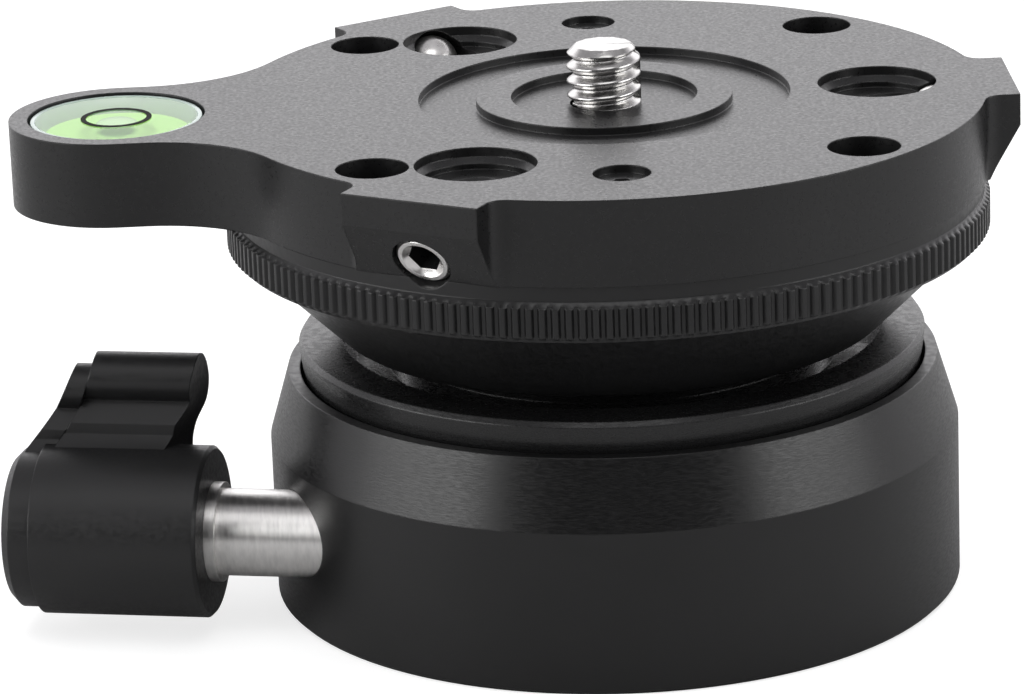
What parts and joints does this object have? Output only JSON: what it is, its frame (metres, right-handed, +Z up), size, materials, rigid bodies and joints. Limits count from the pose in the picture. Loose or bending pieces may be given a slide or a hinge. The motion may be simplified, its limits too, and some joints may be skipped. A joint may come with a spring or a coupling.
{
  "type": "tripod levelling head",
  "caption": "Low half-ball levelling head with a locking side knob, a round platform with a threaded stud, three grub screws and a bubble level on an arm, on a cylindrical base.",
  "frame": {"origin": "centre of the mouth of the tripod socket, in the plane of the flat bottom face", "axes": "+Z up along the base axis, through the ball centre and the head stud; the level arm points to -X; +Y is away from the picture's viewer"},
  "size_m": [0.0882, 0.0668, 0.0479],
  "materials": {
    "anodised_base": "satin black anodised, fine turned grain",
    "anodised_ball": "satin black anodised, turned",
    "anodised_ring": "satin black anodised, straight knurl",
    "anodised_plate": "satin black anodised, bead blasted",
    "anodised_knob": "satin black anodised",
    "steel": "machined steel",
    "stainless": "turned stainless steel",
    "black_steel": "black oxide steel",
    "spring_steel": "spring steel",
    "polymer": "low-friction acetal",
    "level_clear": "clear acrylic",
    "level_white": "pale green reflector",
    "level_green": "yellow-green spirit",
    "level_air": "air bubble",
    "level_black": "printed ring"
  },
  "bodies": {
    "base": {"base_housing": "anodised_base", "bottom_plate": "anodised_base", "bush_screws": "steel", "tripod_bush": "steel", "centre_post": "steel", "shaft_retainer": "black_steel", "wave_spring": "spring_steel", "post_nut": "steel", "ball_seat": "polymer"},
    "knob": {"clamp_shaft": "stainless", "shaft_collar": "stainless", "knob_body": "anodised_knob", "knob_cap": "anodised_knob", "knob_screw": "black_steel"},
    "turn_washer": {"cup_washer": "steel"},
    "tilt_liner": {"washer_liner": "polymer"},
    "head": {"half_ball": "anodised_ball", "flange_ring": "anodised_ring", "flange_screws": "black_steel", "top_plate": "anodised_plate", "platform_screws": "black_steel", "head_stud": "stainless", "level_vial": "level_clear", "level_backing": "level_white", "level_fluid": "level_green", "level_bubble": "level_air", "level_ring": "level_black"},
    "grub_1": {"set_screw_1": "stainless"},
    "grub_2": {"set_screw_2": "stainless"},
    "grub_3": {"set_screw_3": "stainless"}
  },
  "joints": [
    {"name": "knob_turn", "type": "hinge", "parent": "base", "child": "knob", "pos_m": [-0.00349, -0.01613, 0.00872], "axis": [-0.9774, 0.2113, 0], "range_deg": [0, 90]},
    {"name": "tilt_direction", "type": "hinge", "parent": "base", "child": "turn_washer", "pos_m": [0, 0, 0.025], "axis": [0, 0, 1], "continuous": true},
    {"name": "head_tilt", "type": "hinge", "parent": "turn_washer", "child": "tilt_liner", "pos_m": [0, 0, 0.025], "axis": [1, 0, 0], "range_deg": [-15, 15]},
    {"name": "head_turn", "type": "hinge", "parent": "tilt_liner", "child": "head", "pos_m": [0, 0, 0.025], "axis": [0, 0, 1], "continuous": true},
    {"name": "set_screw_1_travel", "type": "slide", "parent": "head", "child": "grub_1", "axis": [-0.866, 0, 0.5], "range_m": [-0.003, 0.002]},
    {"name": "set_screw_2_travel", "type": "slide", "parent": "head", "child": "grub_2", "axis": [0.433, -0.75, 0.5], "range_m": [-0.003, 0.002]},
    {"name": "set_screw_3_travel", "type": "slide", "parent": "head", "child": "grub_3", "axis": [0.433, 0.75, 0.5], "range_m": [-0.003, 0.002]}
  ]
}
